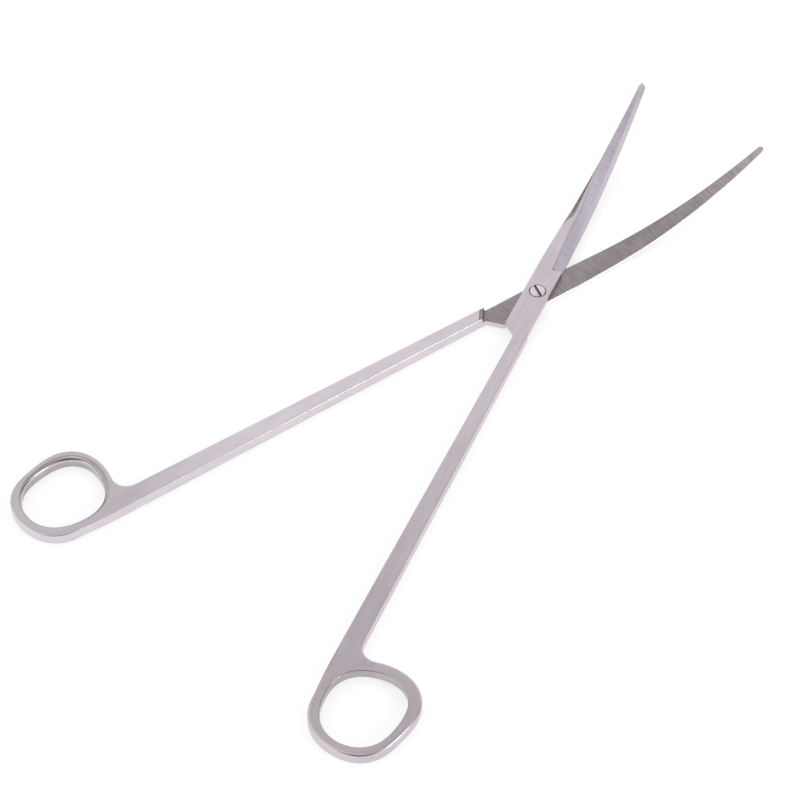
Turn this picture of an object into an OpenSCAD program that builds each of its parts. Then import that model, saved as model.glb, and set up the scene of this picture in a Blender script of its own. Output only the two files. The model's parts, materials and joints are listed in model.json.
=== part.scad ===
// Long-reach scissors with upswept blades: two one-piece ringed halves that lap at a joint half a bar
// thick, held by one slotted pivot screw. The lower half carries the screw, the upper half turns on it.
// Origin: on the pivot axis, at the flat underside. +X points to the tips, +Z is up.
// Each half is drawn in its own frame: closing line along X, blade at +X, its loop and cutting edge at +Y.

/* [Pose] */
// Angle between the two halves as stored
open_angle = 31; // [1:1:90]

/* [Bars] */
// Thickness of the shanks and the finger loops
bar_t = 3.5; // [3:0.1:4.5]
// Closing line to the inner edge of a shank
edge_gap = 0.2; // [0.1:0.05:0.4]
// Shank width behind the joint
shank_w_joint = 3.75; // [3.5:0.05:4.5]
// Shank width at the finger loop
shank_w_loop = 5.7; // [4.5:0.1:6.5]

/* [Finger loops] */
// Pivot to the centre of a finger loop
loop_x = 151.4; // [120:0.2:180]
// Closing line to the centre of a finger loop
loop_y = 14; // [13.8:0.1:15]
// Radius of the loop's round ends, measured in the hole
loop_r = 10.5; // [9.5:0.1:11]
// Half the distance between the centres of the hole's two round ends
loop_stretch = 1.3; // [0.5:0.1:2]
// Angle of the loop's long axis to the closing line
loop_tilt = 14; // [0:1:25]
// Width of the loop's band beside the hole
band_side = 2.45; // [1.8:0.05:2.8]
// Width of the loop's band at the hole's two ends
band_end = 3; // [2.8:0.05:3.4]
// Radius of the hollow where the loop meets the shank
loop_fillet = 4.5; // [1.5:0.5:4.5]

/* [Joint] */
// Half the width of the lapped joint, on the spine side
joint_half_w = 3.9; // [3.5:0.1:4.5]
// Pivot to the corner of the lapped joint
joint_back = 15; // [13:0.5:17]
// Slant of the joint's back corner and of the shoulder that it meets when closed
shoulder_angle = 51; // [45:1:60]
// Radius at the foot of the shoulder
shoulder_r = 1; // [0.5:0.1:1.5]
// Clearance between the two lapped faces
lap_gap = 0.1; // [0.05:0.05:0.2]

/* [Blades] */
// Pivot to the tip of a blade
blade_l = 84.8; // [75:0.2:95]
// Pivot to where the blade starts to bend up
bend_x = 25; // [20:1:30]
// Rise of the blade's inner face at the tip
tip_rise = 12.9; // [8:0.1:16]
// Width of the blade at its root, on the cutting side
root_cut_w = 3.8; // [3.5:0.1:4.2]
// Width of the blade at its root, on the spine side
root_spine_w = 3.95; // [3.6:0.05:4.3]
// How far the spine bellies out between root and tip
spine_belly = 0.44; // [0.2:0.02:0.8]
// Radius of the blunt tip
tip_r = 1.1; // [0.8:0.1:1.4]
// Closing line to the middle of the tip
tip_y = 0.52; // [0.3:0.02:0.8]
// Blade thickness at the tip
tip_t = 0.8; // [0.6:0.1:1.4]
// Slope of the ground bevel on the cutting side
bevel_slope = 0.38; // [0.34:0.02:0.46]
// Thickness left at the cutting edge
edge_t = 0.25; // [0.15:0.05:0.4]
// Slope of the narrow bevel along the spine
spine_slope = 0.6; // [0.5:0.1:1]
// Thickness left at the spine
spine_t = 1.1; // [0.9:0.05:1.2]
// Hollow of each blade's inner face below the lapped face
blade_relief = 0.1; // [0.05:0.05:0.2]

/* [Screw] */
// Diameter of the screw's head
head_d = 4.6; // [4.4:0.1:5.2]
// Height of the screw's head
head_h = 0.95; // [0.8:0.05:1.1]
// Depth of the recess that the head sits in
recess_depth = 0.8; // [0.6:0.05:0.9]
// Gap all round between the head and its recess
recess_gap = 0.15; // [0.1:0.05:0.3]
// Diameter of the plain shoulder that the upper half turns on
shoulder_d = 3.4; // [3.2:0.1:3.8]
// Radial running clearance round that shoulder
run_gap = 0.05; // [0.02:0.01:0.09]
// Diameter over the screw's thread
thread_d = 3; // [2.5:0.1:3.1]
// How far the thread bites into the lower half, on the radius
thread_bite = 0.05; // [0.02:0.01:0.1]
// Width of the screwdriver slot
slot_w = 0.85; // [0.5:0.05:1]
// Depth of the screwdriver slot
slot_depth = 0.6; // [0.4:0.05:0.7]
// Direction of the slot from +X
slot_angle = 62; // [0:1:179]

/* [Hidden] */
$fn = 96;

bend_fn = 360;                          // fineness of the large bend radii
narrow_x = 25;                          // where shank_w_joint is measured, behind the pivot
wide_x = 150;                           // where shank_w_loop is measured
overlap = 5;                            // how far the shapes of a half run into each other
foot_gap = 0.4;                         // joint's back corner to the foot of the shoulder
tip_turn = 75;                          // half the turn of the arc at the tip
lap_z = bar_t / 2;                      // height of the lapped joint's mid plane
lower_face = lap_z - lap_gap / 2;       // top of the lower half in the joint
upper_face = lap_z + lap_gap / 2;       // underside of the upper half in the joint
relief_x = 11;                          // where the blades' inner faces start to be hollowed
bevel_x = 9.7;                          // square end of the ground bevel
spine_bevel_x = bend_x - 3;             // square end of the spine's bevel
screw_end = 0.15;                       // gap from the screw's end to the underside
reach = 400;                            // longer than the object, for cutting blocks
high = 60;                              // taller than the object, for cutting blocks
slack = 0.01;                           // overshoot of cuts

loop_c = [-loop_x, loop_y];
outer_r = loop_r + band_side;
outer_stretch = loop_stretch + band_end - band_side;
tip_c = [blade_l - tip_r, tip_y];
bend_l = blade_l - bend_x;
tip_face_angle = 2 * atan(tip_rise / bend_l);
tip_t_upright = tip_t / cos(tip_face_angle);

// Radius of an arc that starts flat and rises by h over a run of l
function arc_r(l, h) = (l * l + h * h) / (2 * h);

// Outer edge of the shank at a distance back from the pivot
function shank_y(back) = edge_gap + shank_w_joint
    + (shank_w_loop - shank_w_joint) * (back - narrow_x) / (wide_x - narrow_x);

// Centre of one end of a loop: side +1 is the end towards the pivot
function loop_end(side, stretch) = loop_c + side * stretch * [cos(loop_tilt), sin(loop_tilt)];

// Points on an arc from p to q that bulges to the right by sag
function bulge(p, q, sag, steps) =
    let (c = norm(q - p), r = (c * c / 4 + sag * sag) / (2 * sag), a = asin(c / 2 / r),
         u = (q - p) / c, n = [u[1], -u[0]], m = (p + q) / 2)
    [for (i = [0:steps]) let (b = a * (2 * i / steps - 1)) m + u * r * sin(b) + n * (r * cos(b) - r + sag)];

// Points on an arc about the origin from angle a0 to a1
function turn(r, a0, a1, steps) =
    [for (i = [0:steps]) let (a = a0 + (a1 - a0) * i / steps) r * [cos(a), sin(a)]];

module loop_shape(r, stretch) {
    for (side = [-1, 1]) translate(loop_end(side, stretch)) circle(r);
    translate(loop_c) rotate(loop_tilt) square([2 * stretch, 2 * r], center = true);
}

// Hollow corner between the shank's outer edge and the loop
module loop_corner() {
    c = loop_end(1, outer_stretch);
    fy = shank_y(loop_x - outer_r) + loop_fillet;
    fx = c[0] + sqrt(pow(outer_r + loop_fillet, 2) - pow(fy - c[1], 2));
    f = [fx, fy];
    on_loop = c + (f - c) * outer_r / norm(f - c);
    difference() {
        polygon([[fx, fy - loop_fillet - 1], f, on_loop, [c[0], fy - loop_fillet - 1]]);
        translate(f) circle(loop_fillet);
    }
}

module handle_plan() {
    low_end = loop_end(-1, outer_stretch);
    difference() {
        union() {
            loop_shape(outer_r, outer_stretch);
            loop_corner();
            polygon([
                [-joint_back, edge_gap], [-joint_back, shank_y(joint_back)],
                [-loop_x, shank_y(loop_x)], low_end, low_end - [0, outer_r],
                [-loop_x + outer_r, edge_gap]
            ]);
        }
        loop_shape(loop_r, loop_stretch);
    }
}

module head_plan() {
    slant = [-(joint_half_w + edge_gap) / tan(shoulder_angle), joint_half_w + edge_gap];
    corner = [-joint_back, -joint_half_w];
    polygon(concat(
        [corner + slant, corner],
        bulge([bend_x / 2, -root_spine_w], tip_c - [0, tip_r], spine_belly, 12),
        [for (p = turn(tip_r, -tip_turn, tip_turn, 10)) tip_c + p],
        [tip_c + [0, tip_r], [relief_x, root_cut_w], [-joint_back, shank_y(joint_back)],
         [-joint_back - overlap, shank_y(joint_back + overlap)]]
    ));
}

module bend_cylinder(z, r) {
    translate([bend_x, 0, z + r]) rotate([90, 0, 0])
        cylinder(r = r, h = 2 * loop_x, center = true, $fn = bend_fn);
}

// Side view of a half: full bar behind the joint, the lap between low and high, then the upswept blade
module side_view(lap_low, lap_high, root_low, root_high, tip_low, tip_high) {
    translate([-reach - joint_back, -reach / 2, 0]) cube([reach, reach, bar_t]);
    translate([-joint_back - overlap, -reach / 2, lap_low])
        cube([joint_back + overlap + relief_x, reach, lap_high - lap_low]);
    translate([0, -reach / 2, root_low]) cube([bend_x, reach, root_high - root_low]);
    intersection() {
        difference() {
            bend_cylinder(root_low, arc_r(bend_l, tip_low - root_low));
            bend_cylinder(root_high, arc_r(bend_l, tip_high - root_high));
        }
        translate([bend_x, -reach / 2, 0]) cube([blade_l, reach, high]);
    }
}

// What is ground off a blade's outer face beside the edge from p to q, which lies at +Y. It slopes up
// from edge_left above (side 1) or below (side -1) the inner face, and follows the blade's bend.
module bevel_space(side, face, p, q, edge_left, slope, start) {
    back = 7;
    over = 1;
    flat_l = bend_x - p[0];
    inner_r = arc_r(bend_l, tip_rise);
    function height(y) = side * (edge_left - slope * y);
    translate([p[0], p[1], face]) rotate(atan2(q[1] - p[1], q[0] - p[0])) {
        translate([start - p[0], 0, 0]) rotate([90, 0, 90]) linear_extrude(flat_l - start + p[0]) polygon([
            [-back, height(-back)], [over, height(over)],
            [over, side * high], [-back, side * high]
        ]);
        if (side > 0) intersection() {
            bevel_block(flat_l, back, over);
            bevel_cone(flat_l, inner_r, back, over, height(-back), height(over));
        }
        else difference() {
            bevel_block(flat_l, back, over);
            bevel_cone(flat_l, inner_r, back, over, height(-back), height(over));
        }
    }
}

module bevel_block(flat_l, back, over) {
    translate([flat_l, -back, -high / 2]) cube([blade_l, back + over, high]);
}

module bevel_cone(flat_l, inner_r, back, over, back_height, over_height) {
    translate([flat_l, -back, inner_r]) rotate([-90, 0, 0])
        cylinder(r1 = inner_r - back_height, r2 = inner_r - over_height, h = back + over, $fn = bend_fn);
}

module blade_bevels(side, face) {
    bevel_space(side, face, [relief_x, root_cut_w], tip_c + [0, tip_r], edge_t, bevel_slope, bevel_x);
    mirror([0, 1, 0]) bevel_space(side, face, [bend_x / 2, root_spine_w], [tip_c[0], tip_r - tip_c[1]],
        spine_t, spine_slope, spine_bevel_x);
}

// Space beyond the slanted shoulder: where the other half's joint swings. It lies above z = 0.
module shoulder_space() {
    foot = [-joint_back - foot_gap, joint_half_w];
    translate([foot[0], foot[1], 0]) rotate(shoulder_angle - 90) {
        translate([-shoulder_r, -joint_back, shoulder_r]) cube([joint_back, 2 * joint_back, high]);
        translate([0, -joint_back, 0]) cube([joint_back, 2 * joint_back, high]);
        translate([0, 0, shoulder_r]) rotate([90, 0, 0])
            cylinder(r = shoulder_r, h = 2 * joint_back, center = true);
    }
}

module lower_half() {
    face = lower_face - blade_relief;
    color([0.80, 0.79, 0.80]) rotate(-open_angle / 2) difference() {
        intersection() {
            linear_extrude(high) union() { handle_plan(); head_plan(); }
            side_view(0, lower_face, 0, face, face + tip_rise - tip_t_upright, face + tip_rise);
        }
        translate([0, 0, lower_face]) shoulder_space();
        blade_bevels(-1, face);
        translate([0, 0, -slack]) cylinder(d = thread_d - 2 * thread_bite, h = bar_t);
    }
}

module upper_half() {
    face = upper_face + blade_relief;
    color([0.76, 0.74, 0.76]) rotate(open_angle / 2) mirror([0, 1, 0]) difference() {
        intersection() {
            linear_extrude(high) union() { handle_plan(); head_plan(); }
            side_view(upper_face, bar_t, face, bar_t, face + tip_rise, face + tip_rise + tip_t_upright);
        }
        translate([0, 0, upper_face]) mirror([0, 0, 1]) shoulder_space();
        blade_bevels(1, face);
        cylinder(d = shoulder_d + 2 * run_gap, h = high);
        translate([0, 0, bar_t - recess_depth]) cylinder(d = head_d + 2 * recess_gap, h = high);
    }
}

module pivot_screw() {
    head_z = bar_t - recess_depth + lap_gap / 2;
    color([0.85, 0.85, 0.85]) difference() {
        union() {
            translate([0, 0, head_z]) cylinder(d = head_d, h = head_h);
            translate([0, 0, lower_face]) cylinder(d = shoulder_d, h = head_z - lower_face + slack);
            translate([0, 0, screw_end]) cylinder(d = thread_d, h = lap_z);
        }
        rotate(slot_angle) translate([-head_d, -slot_w / 2, head_z + head_h - slot_depth])
            cube([2 * head_d, slot_w, head_h]);
    }
}

lower_half();
upper_half();
pivot_screw();
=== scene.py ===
"""Long-reach scissors with upswept blades: two satin steel halves and a slotted pivot screw.

Each half is one closed mesh: a loft from the blade's tip back along the shank, joined to its finger
ring. It is drawn in millimetres in the half's own frame, with the closing line along X, the tip at +X
and the half's ring and cutting edge at +Y. Heights are measured from the middle of the lapped joint
towards the half's outer face. The upper half is mirrored in Y.
"""
import json
import math

import bmesh
import bpy
from mathutils import Matrix, Vector


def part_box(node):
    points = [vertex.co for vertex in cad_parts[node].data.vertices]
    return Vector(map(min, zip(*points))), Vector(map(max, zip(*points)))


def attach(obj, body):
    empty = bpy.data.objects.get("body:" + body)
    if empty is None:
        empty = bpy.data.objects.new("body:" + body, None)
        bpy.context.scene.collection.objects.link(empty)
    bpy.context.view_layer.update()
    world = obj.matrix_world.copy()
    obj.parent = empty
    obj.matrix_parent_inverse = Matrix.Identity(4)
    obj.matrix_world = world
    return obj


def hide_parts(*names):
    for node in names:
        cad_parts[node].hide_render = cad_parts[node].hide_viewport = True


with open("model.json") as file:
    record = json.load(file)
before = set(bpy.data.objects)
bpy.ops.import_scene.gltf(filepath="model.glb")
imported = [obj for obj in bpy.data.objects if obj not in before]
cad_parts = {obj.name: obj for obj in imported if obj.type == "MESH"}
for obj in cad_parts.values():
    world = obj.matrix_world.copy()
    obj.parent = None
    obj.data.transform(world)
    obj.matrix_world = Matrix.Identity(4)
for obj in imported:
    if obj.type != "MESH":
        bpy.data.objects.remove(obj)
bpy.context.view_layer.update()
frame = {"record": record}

MM = 0.001

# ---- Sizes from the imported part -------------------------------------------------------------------
MOUNTS = {m["name"]: Vector(m["pos_m"]) / MM for m in frame["record"]["mounts"]}
OPEN_ANGLE = 31             # degrees between the halves, as they are stored
HALF_ANGLE = math.radians(OPEN_ANGLE / 2)
BAR_T = 2 * MOUNTS["lower_loop"].z      # thickness of the bar
LAP_Z = BAR_T / 2
LOOP = (Matrix.Rotation(HALF_ANGLE, 3, "Z") @ MOUNTS["lower_loop"]).to_2d()
SCREW_BOX = [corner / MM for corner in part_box("pivot_screw")]

# ---- Sizes of a half, in millimetres --------------------------------------------------------------
EDGE_GAP = 0.2              # closing line to the inner edge of a shank
SHANK_W = (3.75, 5.7)       # shank width at the two places below
SHANK_X = (-25, -150)
SHANK_R = 0.22              # rounding of the shank's edges
FRONT_R = 0.32              # the same where the closing line meets the inner face

JOINT_BACK = -15            # back corner of the lapped joint
JOINT_SPINE = -3.9          # spine side of the lapped joint
JOINT_CORNER_R = 0.5
LAP_FACE = 0.05             # height of the lapped face
LAP_R = 0.12                # rounding of the lapped joint's edges
SHOULDER = math.radians(51) # slant of the shoulder
SHOULDER_FOOT = Vector((-15.4, 3.9))
SHOULDER_R = 1.0            # hollow along its foot
SHOULDER_LEAN = 0.02        # how far its wall leans back
SHOULDER_STRIP = 1.2        # from its wall's foot to the first plain cut of the shank
FOOT_STEPS = 5              # steps round the hollow along its foot
TOP_STEPS = 3               # steps round its top edge
FOOT_GAP = Vector((0.09, -0.02))    # from its foot to the joint's last station, on the spine side

BLADE_L = 84.8              # pivot to tip
BLADE_REACH = {-1: 1.0, 1: 0.98}    # the upper blade ends a little short of the lower one
BLADE_FACE = 0.15           # height of the blade's inner face
RELIEF_X = 11               # where the inner face steps from one height to the other
RELIEF_RUN = 1.5            # length of that step
HOLLOW = 0.06               # how far the inner face is ground hollow
HOLLOW_RUN = 10
BEND_X = 25                 # where the blade starts to sweep up
CUT_ROOT_Y = 3.8
SPINE_ROOT = Vector((12.5, -3.95))
SPINE_BELLY = 0.44
TIP_R = 1.1
TIP = Vector((BLADE_L - TIP_R, 0.52))
TIP_T = 0.7                 # thickness of the blade at the tip
EDGE_T = (0.25, 0.8 * TIP_T)        # thickness beside the cutting edge, along it and at the tip
EDGE_RUN = 12               # length over which it changes
EDGE_THIN = 0.6             # share of that thickness on the edge itself
EDGE_R = 0.05               # rounding of the cutting edge
SPINE_R = 0.3               # rounding of the spine's edges, as a share of the thickness there

FACET_X = 9.7               # square end of the facet ground on the outer face
HEEL_X = 10.35              # where the shade of that end stops
RIDGE = (0.7, -0.45, -2.65) # where the facet ends across the blade: at the heel, the bend, past it
RIDGE_X = (9.7, 27.7, 34, 58)       # it moves between the first two of these, and the last two
RIDGE_TO_BEVEL = 0.12       # least distance between the ridge and the spine's bevel
HEEL_SINK = 0.2             # how far the facet is sunk below the flat at its square end
RIDGE_SINK = 0.09           # the same along the ridge
SINK_RUN = 18               # length over which the one becomes the other
RIDGE_END = (36, 46)        # places between which that step runs out
HONE = 1.2                  # width of the honed strip along the cutting edge
HONE_HEEL = 0.55            # share of that width at the heel
HONE_RUN = 30               # length over which it widens
SPINE_BEVEL = (0.3, 1.7, 0.25)      # width of the bevel along the spine: start, widest, narrowest
SPINE_BEVEL_X = (29, 34, 56)        # where these are
SPINE_BEVEL_RUN = 4         # length over which it widens
SPINE_BEVEL_EASE = 0.8      # below 1, it narrows faster at first
SPINE_DROP = (0.75, 0.1)    # height of that bevel, at its start and at the tip
SPINE_DROP_RUN = 8          # length over which it gets deeper
POLISH_X = 0                # the spine's edge is polished from here to the tip

FILLET_R = 4.5              # hollow between ring and shank
FILLET_X = (8, 24)          # least and most distance of its centre from the ring's, along the shank
FILLET_TURN = range(-60, 30)        # directions in which it may meet the ring, in degrees
JUNCTION_END = math.radians(-98)    # direction in which the shank's front edge meets the ring's rim
JUNCTION_BEND = 10          # how far before the ring's centre that edge leaves the closing line
JUNCTION_STEPS = 14         # stations from the shank to the ring
JUNCTION_EASE = 1.5         # above 1, they get closer together towards the ring
LINE_STEPS = 10             # pieces in each of the two lines that their ends follow

# Rounding of a ring's edges in each half, on its outer face (1) and its inner face (-1)
RIM_R = {-1: {1: 0.4, -1: 0.4}, 1: {1: 0.7, -1: 0.4}}
HOLE_ACROSS = {-1: {1: (0.4, 0.4), -1: (0.5, 1.5)}, 1: {1: (0.3, 0.3), -1: (0.8, 0.8)}}
HOLE_DOWN = {-1: {1: 0.4, -1: 0.9}, 1: {1: 0.3, -1: 0.8}}
HOLE_WIDEST = math.radians(35)      # direction in which a hole's rounding is widest

# Radius about the ring's centre: the mean, then (lobes, height, direction in degrees). The rings are
# finished by hand, so the upper one's rim is a little fuller towards the pivot.
HOLE_SHAPE = (11.27, ((2, 0.56, 14), (3, 0.27, 52), (4, 0.23, 45)))
RIM_LOBES = ((2, 0.89, 22), (3, 0.17, 47), (4, 0.38, 56))
RIM_SHAPE = {-1: (14.0, ((1, 0.2, 144), *RIM_LOBES)), 1: (14.2, ((1, 0.35, 45), *RIM_LOBES))}

COLUMNS = 12                # strips across a half
LINE_HALF = 0.05            # half the width of a feature line on the blade
RIM_STEPS = 3               # steps round a plate's rounded edge
HOLE_STEPS = 7              # the same in a ring's hole
RING_STEPS = 66             # steps round the free part of a ring
HOLE_V = 0.25               # width of a strip in a ring's hole, on the grain layer
FACE_V = 2                  # the same on its faces
RIM_V = 0.4                 # the same round its rim
TIP_TURNS = (80, 66, 50, 33, 16)    # stations round the blunt tip, in degrees
BLADE_STEPS = 44            # stations from there to the heel

# Stations of the lapped joint along its spine side, then along its cutting side: there, they crowd
# where those of the spine side go round the back corner
JOINT_SPINE_X = (FACET_X, 7, 4, 1, -2, -5, -8, -11, -13)
JOINT_CUT_X = (FACET_X, 7, 4, 1, -2, -5, -7.5, -9.5, -11, -12, -12.3, -12.6, -12.9, -13.2, -14, -14.7,
               -15.35)
SHANK_STATIONS = (-20.5, -24, -29, -36, -46, -58, -70, -82, -94, -106, -117, -126)
STRAIGHT_AT = 5             # the shank's stations are straight across from this one
EVEN_RUN = 18               # length behind the facet over which the columns get evenly spaced

# The blade's sweep is an arc that reaches the CAD blade's height at the tip
BEND_RUN = BLADE_L - BEND_X
TIP_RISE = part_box("lower_half")[1].z / MM - LAP_Z + BLADE_FACE
BEND_R = (BEND_RUN ** 2 + TIP_RISE ** 2) / (2 * TIP_RISE)


def lerp(a, b, t):
    return a + (b - a) * t


def smooth(t):
    """0 below 0, 1 above 1, and an easy step between."""
    t = min(max(t, 0.0), 1.0)
    return t * t * (3 - 2 * t)


def rise(x):
    """How far the blade has swept up at x."""
    run = max(x - BEND_X, 0)
    return BEND_R - math.sqrt(BEND_R ** 2 - run ** 2)


def shank_edge(x):
    """The outer edge of the shank."""
    return EDGE_GAP + lerp(SHANK_W[0], SHANK_W[1], (x - SHANK_X[0]) / (SHANK_X[1] - SHANK_X[0]))


def cut_edge(x):
    """The cutting side of the joint and the blade."""
    if x < RELIEF_X:
        return lerp(shank_edge(JOINT_BACK), CUT_ROOT_Y, (x - JOINT_BACK) / (RELIEF_X - JOINT_BACK))
    return lerp(CUT_ROOT_Y, TIP.y + TIP_R, (x - RELIEF_X) / (TIP.x - RELIEF_X))


def spine_edge(x):
    """The spine side of the joint and the blade."""
    if x < SPINE_ROOT.x:
        return lerp(JOINT_SPINE, SPINE_ROOT.y, (x - JOINT_BACK) / (SPINE_ROOT.x - JOINT_BACK))
    u = (x - SPINE_ROOT.x) / (TIP.x - SPINE_ROOT.x)
    return lerp(SPINE_ROOT.y, TIP.y - TIP_R, u) - SPINE_BELLY * 4 * u * (1 - u)


def ring_point(shape, angle):
    """A point on the outline of a ring or its hole."""
    mean, lobes = shape
    r = mean + sum(h * math.cos(n * (angle - math.radians(d))) for n, h, d in lobes)
    return LOOP + r * Vector((math.cos(angle), math.sin(angle)))


def ring_normal(shape, angle):
    """Unit normal of the ring's curve, away from its centre."""
    along = ring_point(shape, angle + 0.01) - ring_point(shape, angle - 0.01)
    return Vector((along.y, -along.x)).normalized()


def walk(points, share):
    """The point at a share of a polyline's length."""
    lengths = [(b - a).length for a, b in zip(points, points[1:])]
    left = share * sum(lengths)
    for a, b, length in zip(points, points[1:], lengths):
        if left <= length:
            return a.lerp(b, left / length)
        left -= length
    return points[-1].copy()


# ---- Stations: cuts across a half, from the tip back to the ring ----------------------------------
class Station:
    """One cut across a half: where its two edges are, and the heights of the columns between them."""

    def __init__(self, left, right, shares=None, outer=None, inner=None, edges=None, finish="satin"):
        self.left = Vector(left)
        self.right = Vector(right)
        self.shares = shares or [j / COLUMNS for j in range(COLUMNS + 1)]
        self.outer = outer or [LAP_Z] * (COLUMNS + 1)
        self.inner = inner or [-LAP_Z] * (COLUMNS + 1)
        self.edges = edges or (SHANK_R, SHANK_R, SHANK_R, FRONT_R)
        self.finish = finish
        self.shift = [Vector((0, 0))] * (COLUMNS + 1)


def blade_columns(x, width):
    """Distances of the columns from the cutting edge, in order: edge, honed strip, facet, ridge, flat,
    spine bevel, spine. Feature lines are pairs of columns close together, so that they catch light."""
    size = min(1.0, width / (2 * TIP_R))
    ridge_y = lerp(RIDGE[0], RIDGE[1], min((x - RIDGE_X[0]) / (RIDGE_X[1] - RIDGE_X[0]), 1))
    ridge_y += (RIDGE[2] - RIDGE[1]) * smooth((x - RIDGE_X[2]) / (RIDGE_X[3] - RIDGE_X[2]))
    start, widest, narrowest = SPINE_BEVEL_X
    past = min(max((x - widest) / (narrowest - widest), 0), 1)
    bevel_w = lerp(SPINE_BEVEL[1], SPINE_BEVEL[2], past ** SPINE_BEVEL_EASE)
    bevel = width - size * lerp(SPINE_BEVEL[0], bevel_w, smooth((x - start) / SPINE_BEVEL_RUN))
    ridge = min(cut_edge(min(x, TIP.x)) - ridge_y, bevel - RIDGE_TO_BEVEL * size)
    hone = HONE * size * lerp(HONE_HEEL, 1.0, smooth((x - FACET_X) / HONE_RUN))
    half = LINE_HALF * size
    facet = [lerp(hone, ridge, t) for t in (0.25, 0.5, 0.75)]
    flat = [lerp(ridge, bevel, t) for t in (0.35, 0.65)]
    return [0, hone - half, hone + half, *facet, ridge - half, ridge + half, *flat,
            bevel - half, bevel + half, width]


def blade_heights(x, columns):
    """Outer heights at those columns: the lowest of the flat, the facet and the spine's bevel."""
    width = columns[-1]
    full = lerp(LAP_Z - BLADE_FACE, TIP_T, (max(x - BEND_X, 0) / BEND_RUN) ** 2)
    start = SPINE_BEVEL_X[0]
    drop = lerp(*SPINE_DROP, (x - start) / (BLADE_L - start))
    spine_t = full - drop * smooth((x - start) / SPINE_DROP_RUN)
    ridge = (columns[6] + columns[7]) / 2
    bevel = width - (columns[10] + columns[11]) / 2
    sink = lerp(HEEL_SINK, RIDGE_SINK, smooth((x - FACET_X) / SINK_RUN))
    sink *= 1 - smooth((x - RIDGE_END[0]) / (RIDGE_END[1] - RIDGE_END[0]))
    edge_t = lerp(*EDGE_T, smooth((x - BLADE_L + EDGE_RUN) / EDGE_RUN))
    heights = []
    for d in columns:
        facet = lerp(edge_t, full - sink, d / ridge) if d < ridge else full
        spine = lerp(spine_t, full, (width - d) / bevel)
        heights.append(min(full, facet, spine))
    heights[0] = EDGE_THIN * edge_t
    return [BLADE_FACE + t for t in heights]


def blade_station(x, left, right, facet=True):
    """A cut across the blade, or across the lapped joint if it has no facet."""
    width = (left - right).length
    columns = blade_columns(x, width)
    shares = [d / width for d in columns]
    sunk = smooth((x - RELIEF_X) / RELIEF_RUN)
    hollow = HOLLOW * smooth((x - RELIEF_X) / HOLLOW_RUN)
    inner = [lerp(LAP_FACE, BLADE_FACE, sunk) + hollow * 4 * s * (1 - s) for s in shares]
    if not facet:
        edges = (LAP_R, LAP_R, LAP_R, LAP_R)
        return Station(left, right, shares, None, inner, edges, "lap")
    outer = blade_heights(x, columns)
    spine_r = min(LAP_R, SPINE_R * (outer[-1] - inner[-1]))
    edges = (EDGE_R, EDGE_R, spine_r, spine_r)
    return Station(left, right, shares, outer, inner, edges, "blade")


def shoulder_line(d):
    """Where the line at distance d from the shoulder's foot, towards the tip, meets the two edges. The
    shank's outer edge isn't quite level, so that end is found in two steps."""
    along = Vector((-math.cos(SHOULDER), -math.sin(SHOULDER)))
    across = Vector((math.sin(SHOULDER), -math.cos(SHOULDER)))
    foot = SHOULDER_FOOT + d * across
    left = foot - along * (foot.y - shank_edge(foot.x)) / along.y
    left = foot - along * (foot.y - shank_edge(left.x)) / along.y
    right = foot - along * (foot.y - EDGE_GAP) / along.y
    return left, right


def arc_points(centre, radius, start, end, steps):
    turn = [lerp(start, end, i / steps) for i in range(steps + 1)]
    return [centre + radius * Vector((math.cos(a), math.sin(a))) for a in turn]


def tip_and_blade():
    """Stations of the blade, from its blunt tip to the square end of the facet."""
    rows = []
    for degrees in TIP_TURNS:
        turn = math.radians(degrees)
        x = TIP.x + TIP_R * math.sin(turn)
        half = TIP_R * math.cos(turn)
        rows.append(blade_station(x, Vector((x, TIP.y + half)), Vector((x, TIP.y - half))))
    places = [lerp(TIP.x, HEEL_X, i / BLADE_STEPS) for i in range(BLADE_STEPS)]
    for x in (*places, HEEL_X, FACET_X + 0.03):
        rows.append(blade_station(x, Vector((x, cut_edge(x))), Vector((x, spine_edge(x)))))
    return rows


def joint():
    """Stations of the lapped joint, from the facet's end to its back corner and on to the shoulder."""
    root_w = cut_edge(FACET_X) - spine_edge(FACET_X)
    root = [d / root_w for d in blade_columns(FACET_X, root_w)]
    slant = math.pi - SHOULDER
    back = JOINT_CORNER_R / math.tan(slant / 2)
    centre = Vector((JOINT_BACK, JOINT_SPINE)) + Vector((back, JOINT_CORNER_R))
    rights = [Vector((x, spine_edge(x))) for x in JOINT_SPINE_X]
    rights += arc_points(centre, JOINT_CORNER_R, -math.pi / 2, slant - 1.5 * math.pi, 4)
    corner_end = rights[-1]
    short_of_foot = shoulder_line(0)[1] + FOOT_GAP
    rights += [corner_end.lerp(short_of_foot, t) for t in (0.33, 0.66, 1)]
    rows = []
    for x, right in zip(JOINT_CUT_X, rights):
        left = Vector((x, cut_edge(x)))
        row = blade_station(x, left, right, facet=False)
        even = smooth((FACET_X - x) / EVEN_RUN)
        row.shares = [lerp(s, j / COLUMNS, even) for j, s in enumerate(root)]
        rows.append(row)
    return rows


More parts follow.
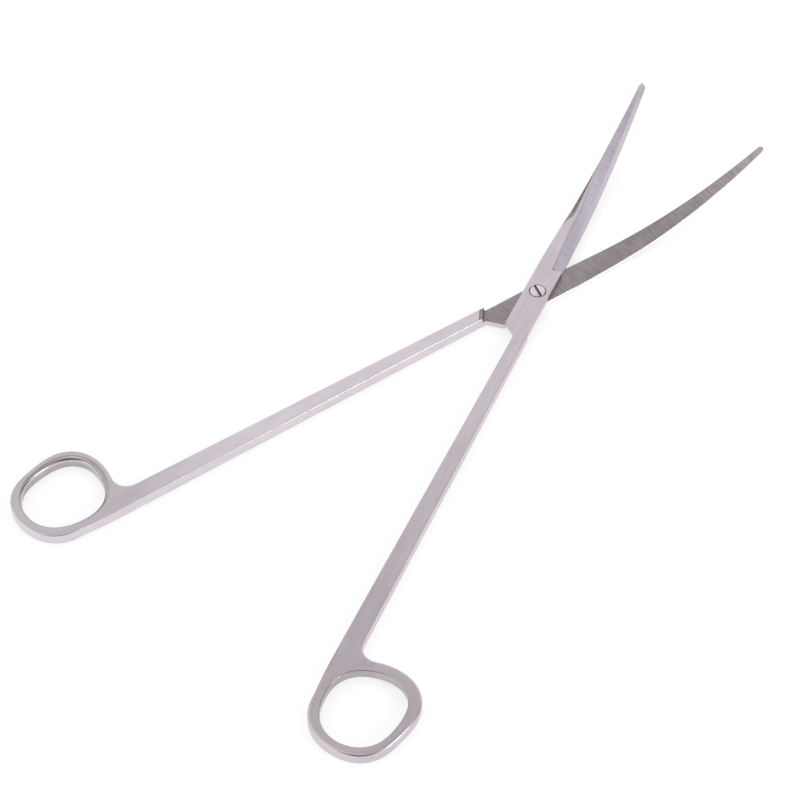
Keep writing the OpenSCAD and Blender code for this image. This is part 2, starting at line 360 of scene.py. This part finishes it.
def shoulder():
    """Stations of the shoulder: its hollow foot, its slanted wall and its rounded top edge. Its profile
    is a list of distances from its foot and heights of the inner face."""
    profile = []
    for i in range(FOOT_STEPS + 1):
        a = math.pi / 2 * i / FOOT_STEPS
        profile.append((-SHOULDER_R * math.sin(a), LAP_FACE - SHOULDER_R * (1 - math.cos(a))))
    for i in range(TOP_STEPS + 1):
        a = math.pi / 2 * i / TOP_STEPS
        profile.append((-SHOULDER_R - SHOULDER_LEAN - SHANK_R * (1 - math.cos(a)),
                        -LAP_Z + SHANK_R * (1 - math.sin(a))))
    profile.append((-SHOULDER_R - SHOULDER_STRIP, -LAP_Z))
    rows = []
    for i, (d, inner) in enumerate(profile):
        left, right = shoulder_line(d)
        past = min(i / (FOOT_STEPS + TOP_STEPS), 1)
        edge = lerp(LAP_R, SHANK_R, past)
        front = lerp(LAP_R, FRONT_R, past)
        finish = "wall" if i < len(profile) - 1 else "satin"
        rows.append(Station(left, right, None, None, [inner] * (COLUMNS + 1),
                            (edge, edge, edge, front), finish))
    return rows


def shank():
    """Stations of the shank, which straighten up as they leave the shoulder."""
    lean = shoulder_line(-SHOULDER_R - SHOULDER_STRIP)
    rows = []
    for i, x in enumerate(SHANK_STATIONS):
        skew = (lean[1].x - lean[0].x) * (1 - smooth((i + 1) / STRAIGHT_AT))
        rows.append(Station((x, shank_edge(x)), (x + skew, EDGE_GAP)))
    return rows


def fillet(rim_shape):
    """Centre of the hollow between the shank's outer edge and the ring, and the direction in which it
    meets the ring. The centre's place along the shank is found by halving."""
    x_low, x_high = (LOOP.x + ahead for ahead in FILLET_X)
    for _ in range(40):
        x = (x_low + x_high) / 2
        centre = Vector((x, shank_edge(x) + FILLET_R))
        angles = [math.radians(degrees) for degrees in FILLET_TURN]
        nearest = min(angles, key=lambda a: (ring_point(rim_shape, a) - centre).length)
        if (ring_point(rim_shape, nearest) - centre).length < FILLET_R:
            x_low = x
        else:
            x_high = x
    return centre, nearest


def ring_junction(rim_shape, rim_r):
    """Stations that turn from a straight cut of the shank to a curve round the ring, and the direction
    in which that curve starts. It ends at JUNCTION_END."""
    centre, start_angle = fillet(rim_shape)
    on_ring = ring_point(rim_shape, start_angle)
    toward = on_ring - centre
    arc_end = math.atan2(toward.y, toward.x)
    if arc_end > 0:
        arc_end -= 2 * math.pi
    last_x = SHANK_STATIONS[-1]
    left_line = [Vector((last_x, shank_edge(last_x))),
                 *arc_points(centre, FILLET_R, -math.pi / 2, arc_end, LINE_STEPS)]
    left_line[-1] = on_ring
    bottom = ring_point(rim_shape, JUNCTION_END)
    right_line = [Vector((last_x, EDGE_GAP))]
    for i in range(LINE_STEPS + 1):
        t = i / LINE_STEPS
        x = lerp(LOOP.x + JUNCTION_BEND, bottom.x, t)
        right_line.append(Vector((x, lerp(EDGE_GAP, bottom.y, smooth(t) * t))))
    rows = []
    for i in range(1, JUNCTION_STEPS + 1):
        s = 1 - (1 - i / JUNCTION_STEPS) ** JUNCTION_EASE
        row = Station(walk(left_line, s), walk(right_line, s))
        row.edges = [lerp(a, b, s) for a, b in zip(row.edges, (rim_r[1], rim_r[-1]) * 2)]
        for j in range(1, COLUMNS):
            angle = lerp(start_angle, JUNCTION_END, j / COLUMNS)
            target = ring_point(rim_shape, angle) - rim_r[1] * ring_normal(rim_shape, angle)
            row.shift[j] = (target - on_ring.lerp(bottom, j / COLUMNS)) * s * s
        rows.append(row)
    return rows, start_angle


# ---- Meshes ---------------------------------------------------------------------------------------
FINISHES = ("satin", "ring", "edge", "polished", "hole", "ground", "facet", "honed", "bore_shade")


class HalfMesh:
    """Collects one half's vertices and faces. outer is 1 if the half's outer face is up, or -1."""

    def __init__(self, outer):
        self.outer = outer
        self.bm = bmesh.new()
        self.grain = self.bm.loops.layers.uv.new("grain")

    def vert(self, point, height):
        """A vertex at a point of the half's plan, with the blade's sweep added to its height."""
        z = LAP_Z + self.outer * height + rise(point.x)
        x = min(point.x, BEND_X) + max(point.x - BEND_X, 0) * BLADE_REACH[self.outer]
        return self.bm.verts.new((x * MM, -self.outer * point.y * MM, z * MM))

    def face(self, corners, grain, finish):
        face = self.bm.faces.new(corners)
        face.material_index = FINISHES.index(finish)
        face.smooth = True
        for loop, uv in zip(face.loops, grain):
            loop[self.grain].uv = uv

    def edge(self, point, inward, outer_height, inner_height, across, down, steps):
        """The rounded edge of a plate, from its outer face round to its inner face. across and down
        are the rounding's size on each of them, inwards and in height."""
        column = []
        for side, height in ((1, outer_height), (-1, inner_height)):
            turn = []
            for k in range(steps + 1):
                a = math.pi / 2 * k / steps
                place = point + inward * across[side] * (1 - math.sin(a))
                turn.append(self.vert(place, height - side * down[side] * (1 - math.cos(a))))
            column += turn if side == 1 else turn[::-1]
        return column


def inward_normals(points, others):
    """Unit normals of a polyline, on the side of the other one. Its last point only ends the last
    piece."""
    normals = []
    for i in range(len(points) - 1):
        along = points[i + 1] - points[max(i - 1, 0)]
        normal = Vector((-along.y, along.x)).normalized()
        if normal.dot(others[i] - points[i]) < 0:
            normal = -normal
        normals.append(normal)
    return normals


def rim_finish(mesh, k, on_spine=False):
    """The finish of a strip of a plate's edge. It is polished along a blade's spine, and has painted
    shade along the bottom of the lower half, next to the floor."""
    if on_spine:
        return "polished"
    return "hole" if mesh.outer < 0 and k < RIM_STEPS else "edge"


def hole_finish(mesh, k):
    """The finish of a strip of a ring's hole, darker as painted shade. The lower half's has a
    painted highlight line round the top.
    """
    # painted highlight: two strips of the edge finish round the top of the lower half's hole
    bright = mesh.outer < 0 and HOLE_STEPS < k <= HOLE_STEPS + 2
    return "edge" if bright else "hole"


def loft(mesh, rows, left_next, right_next):
    """Meshes the stations. The two edges' next points set the direction of the last station's edges.
    Returns that station's vertices: outer row, inner row, left and right edge."""
    lefts = [r.left for r in rows] + [left_next]
    rights = [r.right for r in rows] + [right_next]
    left_in = inward_normals(lefts, rights)
    right_in = inward_normals(rights, lefts)
    made = []
    for row, nl, nr in zip(rows, left_in, right_in):
        radii = [{1: row.edges[i], -1: row.edges[i + 1]} for i in (0, 2)]
        left = mesh.edge(row.left, nl, row.outer[0], row.inner[0], radii[0], radii[0], RIM_STEPS)
        right = mesh.edge(row.right, nr, row.outer[-1], row.inner[-1], radii[1], radii[1], RIM_STEPS)
        places = [row.left.lerp(row.right, s) + shift for s, shift in zip(row.shares, row.shift)]
        between = range(1, COLUMNS)
        outer = [left[0], *(mesh.vert(places[j], row.outer[j]) for j in between), right[0]]
        inner = [left[-1], *(mesh.vert(places[j], row.inner[j]) for j in between), right[-1]]
        made.append((row, outer, inner, left, right))

    past_heel = HEEL_X + 0.1

    def flat_uv(vert):
        return vert.co.x / MM, vert.co.y / MM

    def side_uv(vert):
        return vert.co.x / MM, vert.co.z / MM

    for (row, outer_a, inner_a, left_a, right_a), (after, outer_b, inner_b, left_b, right_b) in zip(
            made, made[1:]):
        for j in range(COLUMNS):
            corners = (outer_a[j], outer_a[j + 1], outer_b[j + 1], outer_b[j])
            finish = "satin"
            if row.finish == "blade" and after.finish == "blade":
                finish = ("honed", "honed", *["facet"] * 4, *["satin"] * 5, "ground")[j]
                if j == 11 and row.left.x < SPINE_BEVEL_X[0]:
                    finish = "satin"
                # painted shade: the strip at the facet's square end, and the ridge line up to RIDGE_END,
                # get the dark ground finish as their shadow
                elif j < 7 and row.left.x < past_heel or j == 6 and row.left.x < RIDGE_END[1]:
                    finish = "ground"
            mesh.face(corners, map(flat_uv, corners), finish)
            corners = (inner_a[j], inner_b[j], inner_b[j + 1], inner_a[j + 1])
            ground = row.finish in ("blade", "lap", "wall")
            mesh.face(corners, map(flat_uv, corners), "ground" if ground else "satin")
        spine = row.right.x > POLISH_X
        for side_a, side_b, on_spine in ((left_a, left_b, False), (right_b, right_a, spine)):
            for k in range(2 * RIM_STEPS + 1):
                corners = (side_a[k], side_b[k], side_b[k + 1], side_a[k + 1])
                mesh.face(corners, map(side_uv, corners), rim_finish(mesh, k, on_spine))

    row, outer, inner, left, right = made[0]
    last = 2 * RIM_STEPS + 1
    for k in range(last):
        corners = [left[k], left[k + 1], right[k + 1], right[k]]    # they close the blunt tip
        if k == 0:
            corners[3:] = outer[:0:-1]
        elif k == last - 1:
            corners[2:2] = inner[1:-1]
        mesh.face(corners, map(side_uv, corners), "edge")
    return made[-1][1:]


def finger_ring(mesh, joined, start_angle):
    """Meshes the ring round from the loft's last station."""
    outer, inner, left, right = joined
    down = HOLE_DOWN[mesh.outer]
    rim_shape, rim_r = RIM_SHAPE[mesh.outer], RIM_R[mesh.outer]
    rows = []
    for i in range(COLUMNS + RING_STEPS):
        if i <= COLUMNS:
            angle = lerp(start_angle, JUNCTION_END, i / COLUMNS)
        else:
            angle = lerp(JUNCTION_END, start_angle - 2 * math.pi, (i - COLUMNS) / RING_STEPS)
        worn = smooth(0.5 + 0.5 * math.cos(angle - HOLE_WIDEST))
        across = {side: lerp(*widths, worn) for side, widths in HOLE_ACROSS[mesh.outer].items()}
        hole_in = ring_normal(HOLE_SHAPE, angle)
        hole = mesh.edge(ring_point(HOLE_SHAPE, angle), hole_in, LAP_Z, -LAP_Z, across, down, HOLE_STEPS)
        if i == 0:
            rim = left
        elif i < COLUMNS:
            rim = (outer[i], inner[i])
        elif i == COLUMNS:
            rim = right
        else:
            rim_in = -ring_normal(rim_shape, angle)
            rim = mesh.edge(ring_point(rim_shape, angle), rim_in, LAP_Z, -LAP_Z, rim_r, rim_r, RIM_STEPS)
        rows.append((angle, hole, rim))
    rows.append((start_angle - 2 * math.pi, rows[0][1], rows[0][2]))
    mean = rim_shape[0]
    for i, ((angle_a, hole_a, rim_a), (angle_b, hole_b, rim_b)) in enumerate(zip(rows, rows[1:])):
        ua, ub = mean * angle_a, mean * angle_b
        for k in range(2 * HOLE_STEPS + 1):
            v = HOLE_V * k
            mesh.face((hole_a[k], hole_b[k], hole_b[k + 1], hole_a[k + 1]),
                      ((ua, v), (ub, v), (ub, v + HOLE_V), (ua, v + HOLE_V)), hole_finish(mesh, k))
        for end in (0, -1):
            mesh.face((hole_a[end], rim_a[end], rim_b[end], hole_b[end]),
                      ((ua, 0), (ua, FACE_V), (ub, FACE_V), (ub, 0)), "ring")
        if i >= COLUMNS:
            for k in range(2 * RIM_STEPS + 1):
                v = RIM_V * k
                mesh.face((rim_a[k], rim_a[k + 1], rim_b[k + 1], rim_b[k]),
                          ((ua, v), (ua, v + RIM_V), (ub, v + RIM_V), (ub, v)), rim_finish(mesh, k))


def lathe(name, profile, steps=96):
    """A closed solid turned about Z from (radius, height) points, bottom to top, in millimetres. A
    radius may be a function of the angle, for a thread."""
    bm = bmesh.new()
    rows = []
    for radius, height in profile:
        ring = []
        for i in range(steps):
            a = 2 * math.pi * i / steps
            r = radius(a) if callable(radius) else radius
            ring.append(bm.verts.new((r * math.cos(a) * MM, r * math.sin(a) * MM, height * MM)))
        rows.append(ring)
    for low, high in zip(rows, rows[1:]):
        for i in range(steps):
            j = (i + 1) % steps
            bm.faces.new((low[i], low[j], high[j], high[i])).smooth = True
    for ring, height in ((rows[0], profile[0][1]), (rows[-1], profile[-1][1])):
        middle = bm.verts.new((0, 0, height * MM))
        for i in range(steps):
            bm.faces.new((ring[i], ring[(i + 1) % steps], middle)).smooth = True
    return finished(name, bm)


def finished(name, bm):
    """An object made of a bmesh, with its normals outwards."""
    bmesh.ops.recalc_face_normals(bm, faces=bm.faces)
    mesh = bpy.data.meshes.new(name)
    bm.to_mesh(mesh)
    bm.free()
    obj = bpy.data.objects.new(name, mesh)
    bpy.context.scene.collection.objects.link(obj)
    return obj


def cut(obj, cutter):
    """Takes the cutter's space out of obj, for good. What it leaves has the cutter's material."""
    bool_mod = obj.modifiers.new("cut", "BOOLEAN")
    bool_mod.operation = "DIFFERENCE"
    bool_mod.solver = "EXACT"
    bool_mod.object = cutter
    bool_mod.material_mode = "TRANSFER"
    bpy.context.view_layer.update()
    whole = obj.evaluated_get(bpy.context.evaluated_depsgraph_get())
    mesh = bpy.data.meshes.new_from_object(whole)
    obj.modifiers.clear()
    obj.data = mesh
    bpy.data.objects.remove(cutter)


def crisp(obj, degrees=33):
    """Smooth shading with clean flats: only real corners are sharp."""
    obj.data.shade_smooth()
    obj.data.set_sharp_from_angle(angle=math.radians(degrees))
    weighted = obj.modifiers.new("flats", "WEIGHTED_NORMAL")
    weighted.keep_sharp = True
    weighted.weight = 60


# ---- Materials ------------------------------------------------------------------------------------
def node(tree, kind, inputs=None, **settings):
    made = tree.nodes.new(kind)
    for key, value in settings.items():
        setattr(made, key, value)
    for key, value in (inputs or {}).items():
        if isinstance(value, bpy.types.NodeSocket):
            tree.links.new(value, made.inputs[key])
        else:
            made.inputs[key].default_value = value
    return made


def noise_at(tree, place, scale, detail, seed):
    """Noise with its own scale along and across the grain."""
    spread = node(tree, "ShaderNodeMapping", {"Vector": place, "Scale": (*scale, scale[1]),
                                             "Location": (seed, seed * 0.37, seed * 0.11)})
    made = node(tree, "ShaderNodeTexNoise", {"Vector": spread.outputs[0], "Scale": 1.0, "Detail": detail,
                                             "Roughness": 0.6})
    return made.outputs["Fac"]


def remap(tree, value, low, high, new_low, new_high):
    made = node(tree, "ShaderNodeMapRange", {0: value, 1: low, 2: high, 3: new_low, 4: new_high})
    return made.outputs[0]


def steel(name, dull, bright, roughness, grain, contrast, bump, object_space=False, fade=None,
          faded=1.0):
    """Ground stainless steel. Its marks have a scale along and across the grain, in marks per mm, and it
    is mottled slowly between a dull and a bright tone. fade is the two places along the half between
    which its tone goes from 1 to faded."""
    material = bpy.data.materials.new(name)
    material.use_nodes = True
    tree = material.node_tree
    shader = tree.nodes["Principled BSDF"]
    if object_space:
        coords = node(tree, "ShaderNodeTexCoord")
        place = node(tree, "ShaderNodeVectorMath", {0: coords.outputs["Object"], 3: 1 / MM},
                     operation="SCALE").outputs[0]
    else:
        place = node(tree, "ShaderNodeUVMap", uv_map="grain").outputs[0]
    marks = noise_at(tree, place, grain, 3.0, 3.0)
    fine = noise_at(tree, place, (grain[0] * 2.7, grain[1] * 2.7), 2.0, 17.0)
    mottle = noise_at(tree, place, (0.09, 0.35), 2.0, 41.0)
    tone = remap(tree, mottle, 0.35, 0.65, 0.0, 1.0)
    base = node(tree, "ShaderNodeMix", {0: tone, 6: (*dull, 1), 7: (*bright, 1)}, data_type="RGBA")
    streak = remap(tree, marks, 0.3, 0.7, 1 - contrast, 1 + contrast)
    hair = remap(tree, fine, 0.3, 0.7, 1 - contrast / 2, 1 + contrast / 2)
    shade = node(tree, "ShaderNodeMath", {0: streak, 1: hair}, operation="MULTIPLY").outputs[0]
    if fade:
        along = node(tree, "ShaderNodeSeparateXYZ", {0: place}).outputs["X"]
        change = remap(tree, along, *fade, 1.0, faded)
        shade = node(tree, "ShaderNodeMath", {0: shade, 1: change}, operation="MULTIPLY").outputs[0]
    colour = node(tree, "ShaderNodeVectorMath", {0: base.outputs[2], 3: shade}, operation="SCALE")
    tree.links.new(colour.outputs[0], shader.inputs["Base Color"])
    rough = remap(tree, marks, 0.3, 0.7, roughness - 0.05, roughness + 0.05)
    tree.links.new(rough, shader.inputs["Roughness"])
    relief = node(tree, "ShaderNodeMath", {0: marks, 1: fine}, operation="ADD")
    bumped = node(tree, "ShaderNodeBump", {"Strength": bump, "Distance": 0.02 * MM,
                                           "Height": relief.outputs[0]})
    tree.links.new(bumped.outputs[0], shader.inputs["Normal"])
    shader.inputs["Metallic"].default_value = 1.0
    return material


def plain_floor():
    material = bpy.data.materials.new("floor_paper")
    material.use_nodes = True
    tree = material.node_tree
    shader = tree.nodes["Principled BSDF"]
    coords = node(tree, "ShaderNodeTexCoord")
    mottle = node(tree, "ShaderNodeTexNoise", {"Vector": coords.outputs["Object"], "Scale": 6.0})
    tone = node(tree, "ShaderNodeMix", {0: mottle.outputs["Fac"], 6: (0.50, 0.50, 0.50, 1),
                                        7: (0.52, 0.52, 0.52, 1)}, data_type="RGBA")
    tree.links.new(tone.outputs[2], shader.inputs["Base Color"])
    shader.inputs["Emission Color"].default_value = (1, 1, 1, 1)
    shader.inputs["Emission Strength"].default_value = 0.66
    shader.inputs["Roughness"].default_value = 0.9
    shader.inputs["Specular IOR Level"].default_value = 0.2
    return material


RING_PAINTED_SHADE = 0.80           # painted shade: tone of a ring's faces against the shank's
EDGE_SHADE = 0.90           # tone of the edges against it
LONG = (0.12, 5.0)          # marks that run along the half
CROSS = (2.4, 0.16)         # marks that run across it


def steels(side, dull, bright, fade):
    """A half's finishes. Its satin faces are mottled between a dull and a bright tone, and get painted
    shade from the first place in fade to the second, where the ring is."""
    ring_tones = [[RING_PAINTED_SHADE * channel for channel in tone] for tone in (dull, bright)]
    edge_tones = [[EDGE_SHADE * channel for channel in tone] for tone in (dull, bright)]
    return {
        "satin": steel(side + "_satin", dull, bright, 0.36, LONG, 0.04, 0.25, fade=fade,
                       faded=RING_PAINTED_SHADE),
        # The ring's faces are darker all over: painted shade
        "ring": steel(side + "_ring", *ring_tones, 0.36, LONG, 0.03, 0.25),
        "edge": steel(side + "_edge", *edge_tones, 0.28, (0.2, 3.0), 0.03, 0.08),
        "polished": steel(side + "_polished", (0.92, 0.89, 0.91), (0.95, 0.93, 0.95), 0.26, (0.2, 3.0),
                          0.02, 0.08),
        # painted shade: the walls of the rings' holes, and the lower half's bottom edges, darker than the
        # steel
        "hole": steel(side + "_hole", (0.42, 0.39, 0.39), (0.50, 0.47, 0.46), 0.26, (0.2, 3.0), 0.03, 0.1),
        # Ground steel, also used as painted shade at the facet's heel and along its ridge
        "ground": steel(side + "_ground", (0.33, 0.30, 0.31), (0.38, 0.34, 0.36), 0.40, CROSS, 0.2, 0.7,
                        fade=(45, 78), faded=1.3),
        "facet": steel(side + "_facet", (0.56, 0.51, 0.59), (0.61, 0.56, 0.63), 0.36, CROSS, 0.11, 0.5,
                       fade=(25, 48), faded=1.22),
        # The honed strip's tone rises towards the tip: a painted highlight
        "honed": steel(side + "_honed", (0.66, 0.62, 0.67), (0.72, 0.69, 0.72), 0.30, CROSS, 0.06, 0.4,
                       fade=(38, 56), faded=1.33),
        # painted shade: the bores, the recess round the screw's head and the screw's slot are darker
        "bore_shade": steel(side + "_bored", (0.24, 0.22, 0.22), (0.30, 0.28, 0.28), 0.35, (3.0, 3.0), 0.08, 0.2,
                       object_space=True),
    }


# Both halves are the same steel: the upper half's darker tones, which its edge and ring tones follow, are
# painted shade
lower_steels = steels("lower", (0.75, 0.695, 0.735), (0.80, 0.76, 0.785), (-112, -135))
upper_steels = steels("upper", (0.66, 0.60, 0.64), (0.72, 0.665, 0.70), (-40, -130))
screw_steel = steel("screw_steel", (0.78, 0.72, 0.74), (0.84, 0.78, 0.80), 0.28, (3.0, 3.0), 0.05, 0.2,
                    object_space=True)


# ---- The pieces -----------------------------------------------------------------------------------
def make_half(name, outer, angle, finishes, bore):
    """One half. bore is the profile of what is turned out of it round the pivot."""
    mesh = HalfMesh(outer)
    rim_shape = RIM_SHAPE[outer]
    end_rows, start_angle = ring_junction(rim_shape, RIM_R[outer])
    rows = tip_and_blade() + joint() + shoulder() + shank() + end_rows
    turn = math.radians(4)      # from the last station's ends to the next points of the rim
    joined = loft(mesh, rows, ring_point(rim_shape, start_angle + turn),
                  ring_point(rim_shape, JUNCTION_END - turn))
    finger_ring(mesh, joined, start_angle)
    obj = finished(name, mesh.bm)
    for finish in FINISHES:
        obj.data.materials.append(finishes[finish])
    obj.data.transform(Matrix.Rotation(angle, 4, "Z"))
    cutter = lathe(name + "_bore", bore)
    # The faces that the bore leaves get the painted shade
    cutter.data.materials.append(finishes["bore_shade"])
    cut(obj, cutter)
    crisp(obj)
    return obj


UPPER_FACE = LAP_Z + LAP_FACE           # the upper half's lapped face
HEAD_T = 0.95                           # thickness of the screw's head
HEAD_R = SCREW_BOX[1].x
RECESS_FLOOR = SCREW_BOX[1].z - HEAD_T - LAP_FACE
RECESS_R = HEAD_R + 0.15
SHOULDER_BORE = 1.75
THREAD_BORE = 1.45
THREAD_R = 1.5
THREAD_PITCH = 0.5
THREAD_DEPTH = 0.15
SCREW_R = 1.7                           # radius of the screw's plain shoulder
SLOT_ANGLE = math.radians(62)
SLOT_W = 0.85
SLOT_DEPTH = 0.6

lower_half = make_half("lower_steel_half", -1, -HALF_ANGLE, lower_steels, [
    (THREAD_BORE + 0.3, -3), (THREAD_BORE + 0.3, 0), (THREAD_BORE, 0.3), (THREAD_BORE, BAR_T)])
upper_half = make_half("upper_steel_half", 1, HALF_ANGLE, upper_steels, [
    (SHOULDER_BORE + 0.15, 0), (SHOULDER_BORE + 0.15, UPPER_FACE), (SHOULDER_BORE, UPPER_FACE + 0.15),
    (SHOULDER_BORE, RECESS_FLOOR), (RECESS_R, RECESS_FLOOR), (RECESS_R, BAR_T - 0.1),
    (RECESS_R + 0.12, BAR_T + 0.02), (RECESS_R + 0.12, BAR_T + 3)])


def thread_radius(height):
    """Radius of a triangular thread at a height, as a function of the angle."""
    def radius(angle):
        turn = (height / THREAD_PITCH - angle / (2 * math.pi)) % 1
        return THREAD_R - THREAD_DEPTH * abs(2 * turn - 1)

    return radius


def make_screw():
    """The pivot screw, turned from its hidden end up to its head, and then slotted."""
    bottom, top = SCREW_BOX[0].z, SCREW_BOX[1].z
    lap = LAP_Z - LAP_FACE
    head = RECESS_FLOOR + LAP_FACE
    thread = [(thread_radius(z), z) for z in (bottom + 0.2 + THREAD_PITCH / 8 * i for i in range(20))]
    profile = [(1.25, bottom), (1.4, bottom + 0.1), *thread, (1.4, lap - 0.06),
               (SCREW_R - 0.04, lap), (SCREW_R, lap + 0.05), (SCREW_R, head),
               (HEAD_R - 0.08, head), (HEAD_R, head + 0.08), (HEAD_R, top - 0.2),
               (HEAD_R - 0.06, top - 0.1), (HEAD_R - 0.18, top - 0.04), (HEAD_R - 0.6, top - 0.02),
               (1.0, top - 0.005), (0.3, top)]
    screw = lathe("slotted_screw", profile)
    bm = bmesh.new()
    slot = Matrix.Rotation(SLOT_ANGLE, 4, "Z") @ Matrix.Translation((0, 0, top * MM))
    size = Matrix.Diagonal((4 * HEAD_R * MM, SLOT_W * MM, 2 * SLOT_DEPTH * MM, 1))
    bmesh.ops.create_cube(bm, size=1, matrix=slot @ size)
    slot_cutter = finished("slot", bm)
    # The slot's faces get the same painted shade
    slot_cutter.data.materials.append(lower_steels["bore_shade"])
    screw.data.materials.append(screw_steel)
    cut(screw, slot_cutter)
    crisp(screw)
    return screw


screw = make_screw()

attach(lower_half, "lower_lever")
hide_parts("lower_half")
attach(upper_half, "upper_lever")
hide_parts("upper_half")
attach(screw, "lower_lever")
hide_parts("pivot_screw")

# ---- Floor, light and camera ----------------------------------------------------------------------
bm = bmesh.new()
bmesh.ops.create_grid(bm, x_segments=4, y_segments=4, size=3)
floor = finished("floor", bm)
floor.location.z = -0.05 * MM
floor.data.materials.append(plain_floor())

scene = bpy.context.scene
scene.view_settings.view_transform = "Standard"

MIDDLE = Vector((-0.04, 0, 0))              # middle of the scissors, in metres
CAMERA_TURN = (40.24, 50.232, -0.407)       # azimuth, angle down and roll, in degrees
CAMERA_LENS = 107.75
CAMERA_TARGET = Vector((-55.511, 6.209, 0)) # in millimetres, as is the distance
CAMERA_DISTANCE = 681.028


def patch(tree, direction, towards, spread, shade, base):
    """Mixes a tone into the room round a direction. spread is its radius in degrees, soft at the rim."""
    near = node(tree, "ShaderNodeVectorMath", {0: direction, 1: Vector(towards).normalized()},
                operation="DOT_PRODUCT")
    rim, core = math.cos(math.radians(spread)), math.cos(math.radians(0.4 * spread))
    amount = remap(tree, near.outputs["Value"], rim, core, 0.0, 1.0)
    mixed = node(tree, "ShaderNodeMix", {0: amount, 6: base, 7: (*shade, 1)}, data_type="RGBA")
    return mixed.outputs[2]


def add_world():
    """A pale room, with a duller ceiling, a dark doorway and whoever takes the picture."""
    world = bpy.data.worlds.new("room")
    scene.world = world
    world.use_nodes = True
    tree = world.node_tree
    direction = node(tree, "ShaderNodeTexCoord").outputs["Generated"]
    height = node(tree, "ShaderNodeSeparateXYZ", {0: direction}).outputs["Z"]
    ceiling = remap(tree, height, 0.74, 0.88, 0.0, 1.0)
    room = node(tree, "ShaderNodeMix", {0: ceiling, 6: (0.92, 0.90, 0.92, 1), 7: (0.62, 0.60, 0.62, 1)},
                data_type="RGBA").outputs[2]
    room = patch(tree, direction, (-0.49, -0.41, 0.77), 38, (0.12, 0.11, 0.11), room)
    room = patch(tree, direction, (0.76, -0.55, 0.35), 27, (0.2, 0.19, 0.2), room)
    room = patch(tree, direction, (0.34, 0.92, 0.2), 20, (0.15, 0.15, 0.15), room)
    tree.links.new(room, tree.nodes["Background"].inputs["Color"])
    tree.nodes["Background"].inputs["Strength"].default_value = 1.0


def add_softbox(name, direction, distance, size, power):
    """A round soft light that shines on the middle of the scissors from a direction."""
    light = bpy.data.lights.new(name, "AREA")
    light.shape = "DISK"
    light.size = size
    light.energy = power
    obj = bpy.data.objects.new(name, light)
    scene.collection.objects.link(obj)
    toward = Vector(direction).normalized()
    obj.location = MIDDLE + toward * distance
    obj.rotation_mode = "QUATERNION"
    obj.rotation_quaternion = toward.to_track_quat("Z", "Y")


def add_camera():
    """The camera looks at a point of the table, from a distance, along an azimuth and down."""
    azimuth, elevation, roll = (math.radians(degrees) for degrees in CAMERA_TURN)
    data = bpy.data.cameras.new("camera")
    data.sensor_width = 36
    data.lens = CAMERA_LENS
    data.clip_start = 0.01
    data.clip_end = 100
    camera = bpy.data.objects.new("camera", data)
    scene.collection.objects.link(camera)
    forward = Vector((math.cos(azimuth) * math.cos(elevation), math.sin(azimuth) * math.cos(elevation),
                      -math.sin(elevation)))
    right = Vector((math.sin(azimuth), -math.cos(azimuth), 0))
    up = right.cross(forward)
    turned_right = math.cos(roll) * right + math.sin(roll) * up
    turned_up = math.cos(roll) * up - math.sin(roll) * right
    basis = Matrix((turned_right, turned_up, -forward)).transposed()
    place = CAMERA_TARGET - CAMERA_DISTANCE * forward
    camera.matrix_world = Matrix.Translation(place * MM) @ basis.to_4x4()
    scene.camera = camera


add_world()
add_softbox("front_softbox", (0.19, -0.85, 0.5), 1.3, 0.4, 2.6)
add_softbox("left_softbox", (-0.9, 0.28, 0.33), 1.3, 0.8, 0.7)
add_softbox("top_softbox", (-0.1, 0.25, 1.0), 1.6, 0.8, 1.0)
add_camera()
